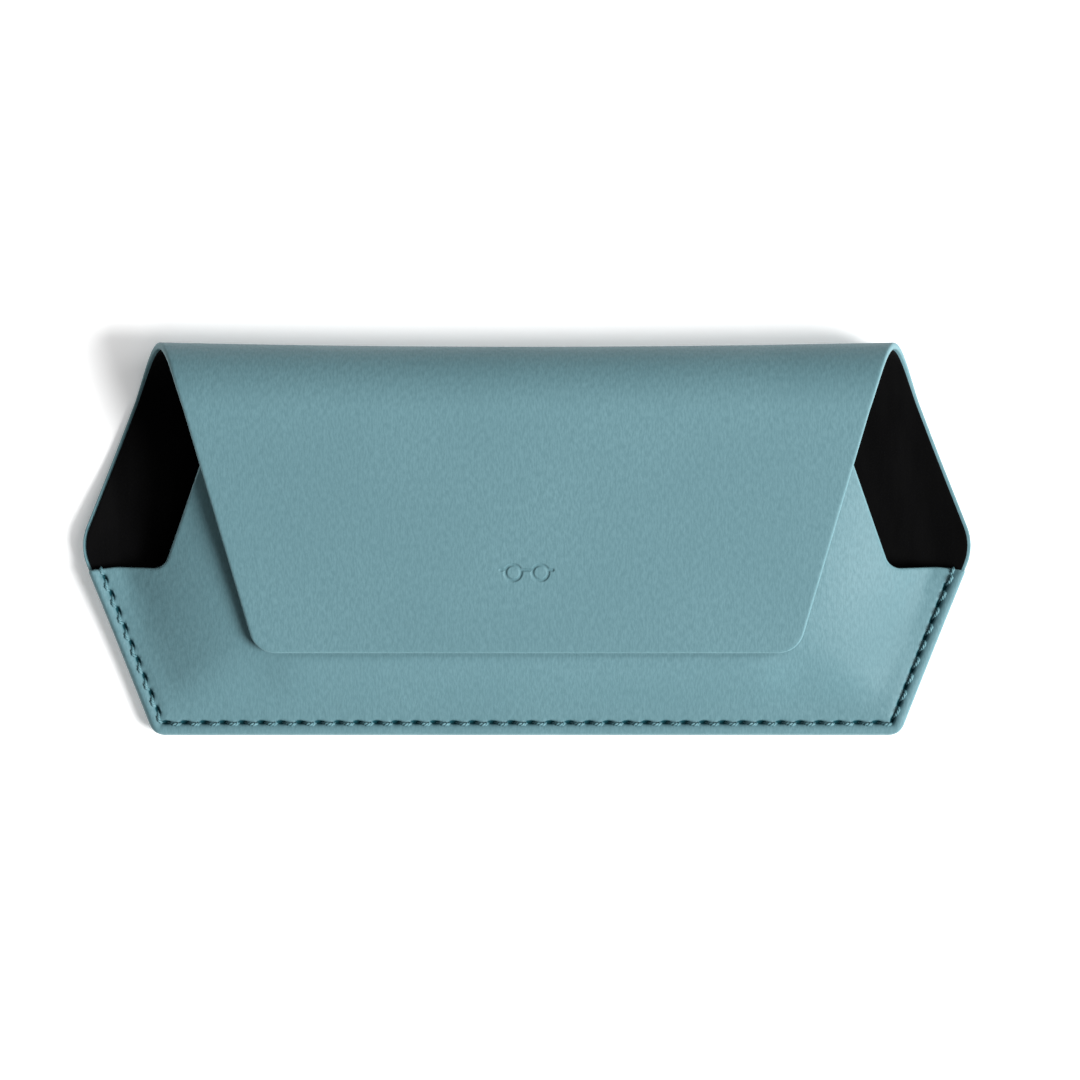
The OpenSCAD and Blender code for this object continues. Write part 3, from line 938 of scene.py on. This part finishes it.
def make_lining():
    spacing = [1.1, 1.1, 0.8, 1.5, 1.5, 1.5, 0.8, 1.1, 1.1, 1.6]
    lattice = blank_lattice(0.8, 4.5)
    outline = inset(BLANK, LINING_INSET)
    parts = sheet(outline, spacing, LINING_OUTER, LINING_INNER, lattice)
    inner = FOLD_R - LEATHER_T - GLUE - LINING_T
    made = make_blank("lining", parts, place_lining, LINING, (inner + LINING_T, inner))
    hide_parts("back_lining")
    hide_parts("flap_lining")
    for k in range(1, FOLD_STRIPS + 1):
        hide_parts(f"fold_lining_{k}")
    declare_cloth(outline)
    declare_cloth(outline)


def front_grid():
    """Even points over the front panel's plan."""
    column, row = FRONT_STEPS
    return grid(spread(-TIP_X, TIP_X, column), spread(-HALF_D, TAB_TOP_Y, row))


def front_lattice(spacing):
    """The front panel's inner points: close rows at the seam and the welt, and even ones."""
    even = front_grid()
    off = FLAP_EDGE_Y - even[:, 1]
    even = even[(off < -1) | (off > WELT_ROWS[-1] + 1)]
    rows = FLAP_EDGE_Y - np.array(WELT_ROWS)
    inner = np.vstack((even, grid(spread(-TIP_X, TIP_X, WELT_STEP), rows)))
    inner = inner[from_edge(inner[:, 0], inner[:, 1]) > SEAM_ROWS[-1] + 1]
    return np.vstack((inner, seam_rows(FRONT, spacing, MOUTH_Y)))


def make_front():
    """The front panel's leather, with the groove and dimples of the seam in it."""
    seam, mouth, tab, top = 0.36, 0.8, 1.2, 2.0
    spacing = [seam, mouth, mouth, tab, top, tab, mouth, mouth, seam, seam]
    lattice = front_lattice(spacing)
    parts = sheet(FRONT, spacing, LEATHER_OUTER, LEATHER_INNER, lattice, (front_board,))
    piece = finish_mesh(flat_mesh(*parts), "front_panel", place_front, LEATHER, front_hole_shade)
    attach(piece, "pocket")
    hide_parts("front_leather")


def declare_cloth(outline):
    """Works out the right half of a lining outline's edge, from bottom to top, and does nothing
    more with it.
    """
    edge = ring(outline, counts_for(outline, [0.5] * len(outline)))
    right = edge[edge[:, 0] > 0]
    right = right[np.argsort(right[:, 1])]


def place_front_lining(x, y, n):
    z = front_z(x, y) - (n + LEATHER_T + GLUE) * SLANT
    return np.column_stack((x, y, z))


def make_front_lining():
    spacing = [1.2, 0.8, 0.8, 1.2, 2.0, 1.2, 0.8, 0.8, 1.2, 1.6]
    outline = inset(FRONT, LINING_INSET)
    parts = sheet(outline, spacing, LINING_OUTER, LINING_INNER, front_grid())
    piece = finish_mesh(flat_mesh(*parts), "front_panel_lining", place_front_lining, LINING)
    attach(piece, "pocket")
    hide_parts("front_lining")
    declare_cloth(outline)


# ---- Thread ----

PLY_R = 0.19               # radius of each of the thread's two plies
PLY_OFFSET = 0.16          # distance of each ply from the thread's middle
PLY_SIDES = 6
TWIST_PITCH = 1.3
STITCH_STEPS = 22
NEEDLE_SAG = 0.16          # scale of the needle thread's lean aside between its holes
NEEDLE_START = 1.7         # it starts this far down its hole
NEEDLE_CREST = 0.12        # comes up this far above where it would rest
NEEDLE_DIVE = 1.1          # and goes down again towards this depth
BOBBIN_DIVE = 0.35         # the bobbin thread turns up this far into its holes
LOOP_LEN = 1.25            # from the last hole to past the mouth's edge
LOOP_START = 0.8           # and it comes up from about this depth
WOBBLE = 0.04              # the most that one stitch's lean strays from its neighbours'


def across(line):
    """Unit vectors across a line at each of its points: one level, and one upwards."""
    tangents = np.gradient(line, axis=0)
    side = np.cross(tangents, (0, 0, 1))
    side /= np.linalg.norm(side, axis=1)[:, None]
    up = np.cross(side, tangents)
    up /= np.linalg.norm(up, axis=1)[:, None]
    return side, up


def tube(bm, points, radius):
    """A closed tube along a line of points."""
    side, up = across(points)
    rows = []
    for p, s, u in zip(points, side, up):
        row = []
        for i in range(PLY_SIDES):
            t = 2 * math.pi * i / PLY_SIDES
            row.append(bm.verts.new((p + radius * (s * math.cos(t) + u * math.sin(t))) * MM))
        rows.append(row)
    for a, b in zip(rows, rows[1:]):
        for i in range(PLY_SIDES):
            j = (i + 1) % PLY_SIDES
            bm.faces.new((a[i], a[j], b[j], b[i]))
    bm.faces.new(rows[0][::-1])
    bm.faces.new(rows[-1])


def plies(bm, line, phase):
    """Two plies twisted round the thread's own line."""
    steps = np.linalg.norm(np.diff(line, axis=0), axis=1)
    along = np.concatenate(([0], np.cumsum(steps)))
    side, up = across(line)
    for ply in (0, math.pi):
        t = 2 * math.pi * along / TWIST_PITCH + phase + ply
        twist = side * np.cos(t)[:, None] + up * np.sin(t)[:, None]
        tube(bm, line + PLY_OFFSET * twist, PLY_R)


def stitch_line(a, b, height, sag, rng):
    """One stitch from hole a to hole b, as t goes from 0 to 1.

    It leans to one side at a, swings over to the other, and comes most of the way back at b.
    """
    t = np.linspace(0, 1, STITCH_STEPS)
    along = unit(b - a)
    aside = np.array((along[1], -along[0]))
    lean = sag * (2.2 * smoothstep(t, 0, 0.85) - 0.6 - 1.2 * smoothstep(t, 0.85, 1))
    lean += rng.uniform(-WOBBLE, WOBBLE) * np.sin(math.pi * t)
    plan = a + np.outer(0.02 + 0.95 * t, b - a) + np.outer(lean, aside)
    return np.column_stack((plan, height(plan[:, 0], plan[:, 1], t)))


def resting_height(x, y):
    """Height of the needle thread's middle where it lies in the seam's groove."""
    return front_z(x, y) - GROOVE_DEPTH + PLY_R + PLY_OFFSET


def needle_height(x, y, t):
    """Height of the needle thread's middle: a slow climb from one hole and a dive into the next."""
    climb = smoothstep(t, 0.16, 0.70)
    dive = smoothstep(t, 0.88, 1.06)
    start = resting_height(x, y) - NEEDLE_START * (1 - climb)
    return start + NEEDLE_CREST * climb - NEEDLE_DIVE * dive


def bobbin_height(x, y, t):
    """Height of the bobbin thread's middle, in its channel under the back."""
    return lift(x) + CHANNEL_D / 2 + BOBBIN_DIVE * np.abs(2 * t - 1) ** 6


def mouth_loop(end, before):
    """The last stitch at a side mouth, which goes over the panel's edge and down behind it."""
    t = np.linspace(0, 1, STITCH_STEPS)
    plan = end + np.outer(LOOP_LEN * t ** 0.7, unit(end - before))
    rise = LOOP_START * (1 - smoothstep(t, -0.1, 0.3))
    drop = PANEL_T * smoothstep(t, 0.62, 1.05)
    return np.column_stack((plan, resting_height(*end) - rise - drop))


def make_thread(name, node, height, sag=0.0, ends=()):
    """One of the seam's two threads. ends are the last holes that it loops over the edge from."""
    rng = random.Random(SEED)
    bm = bmesh.new()
    for run in RUNS:
        for a, b in zip(run, run[1:]):
            plies(bm, stitch_line(a, b, height, sag, rng), rng.uniform(0, 2 * math.pi))
    for end, before in ends:
        plies(bm, mouth_loop(end, before), 0)
    mesh = bpy.data.meshes.new(name)
    bm.to_mesh(mesh)
    bm.free()
    mesh.polygons.foreach_set("use_smooth", [True] * len(mesh.polygons))
    mesh.materials.append(THREAD)
    piece = bpy.data.objects.new(name, mesh)
    bpy.context.scene.collection.objects.link(piece)
    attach(piece, "pocket")
    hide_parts(node)


# ---- Boards and magnets, whose CAD shapes stay ----

def dress_hidden_parts():
    board, magnet = board_material(), magnet_material()
    for name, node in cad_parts.items():
        finish = board if name.endswith("_board") else magnet if "_magnet_" in name else None
        if finish:
            node.data.materials.clear()
            node.data.materials.append(finish)


# ---- Studio ----

# In metres: the camera's height above the floor, the width of floor that it sees, its place
VIEW_HEIGHT = 0.75
VIEW_WIDTH = 0.2019
VIEW_X, VIEW_Y = 0.00243, 0.00008
SENSOR = 36                # width of the camera's sensor, in millimetres

FLOOR_HALF = 3
FLOOR_DROP = 0.0005        # the floor is this far under the case
FLOOR_SHADE = 0.93
FLOOR_GLOW = 0.26          # a faint glow of its own keeps it pale in the shade
SKY = 0.115                # brightness of the light from all round

# Round lights that face the case: name, place, size, watts
LIGHTS = [
    ("key", (1.60, -0.65, 1.60), 1.1, 95),
    ("overhead", (0.90, 0.20, 1.30), 1.2, 10),
    ("fill", (-0.1, -1.2, 0.9), 0.9, 2.6),
]


def make_camera():
    camera = bpy.data.cameras.new("camera")
    camera.sensor_width = SENSOR
    camera.lens = SENSOR * VIEW_HEIGHT / VIEW_WIDTH
    obj = bpy.data.objects.new("camera", camera)
    obj.location = (VIEW_X, VIEW_Y, VIEW_HEIGHT)
    bpy.context.scene.collection.objects.link(obj)
    bpy.context.scene.camera = obj


def make_floor():
    mesh = bpy.data.meshes.new("floor")
    signs = ((-1, -1), (1, -1), (1, 1), (-1, 1))
    mesh.from_pydata([(x * FLOOR_HALF, y * FLOOR_HALF, 0) for x, y in signs], [], [(0, 1, 2, 3)])
    n = Nodes("white_floor")
    n.set(Base_Color=(FLOOR_SHADE, FLOOR_SHADE, FLOOR_SHADE, 1), Roughness=0.9)
    n.set(**{"Emission Color": (1, 1, 1, 1), "Emission Strength": FLOOR_GLOW})
    mesh.materials.append(n.material)
    floor = bpy.data.objects.new("floor", mesh)
    floor.location.z = -FLOOR_DROP
    bpy.context.scene.collection.objects.link(floor)


def make_light(name, place, size, watts):
    light = bpy.data.lights.new(name, "AREA")
    light.shape = "DISK"
    light.size = size
    light.energy = watts
    obj = bpy.data.objects.new(name, light)
    obj.location = place
    obj.rotation_euler = (-Vector(place)).to_track_quat("-Z", "Y").to_euler()
    bpy.context.scene.collection.objects.link(obj)


def make_studio():
    world = bpy.data.worlds.new("studio")
    world.use_nodes = True
    background = world.node_tree.nodes["Background"]
    background.inputs["Color"].default_value = (1, 1, 1, 1)
    background.inputs["Strength"].default_value = SKY
    bpy.context.scene.world = world
    bpy.context.scene.view_settings.view_transform = "Standard"
    for settings in LIGHTS:
        make_light(*settings)


make_leather()
make_front()
make_lining()
make_front_lining()
mouth_ends = [(RUNS[0][0], RUNS[0][1]), (RUNS[-1][-1], RUNS[-1][-2])]
make_thread("needle_thread", "seam_needle_thread", needle_height, NEEDLE_SAG, mouth_ends)
make_thread("bobbin_thread", "seam_bobbin_thread", bobbin_height)
dress_hidden_parts()
make_camera()
make_floor()
make_studio()
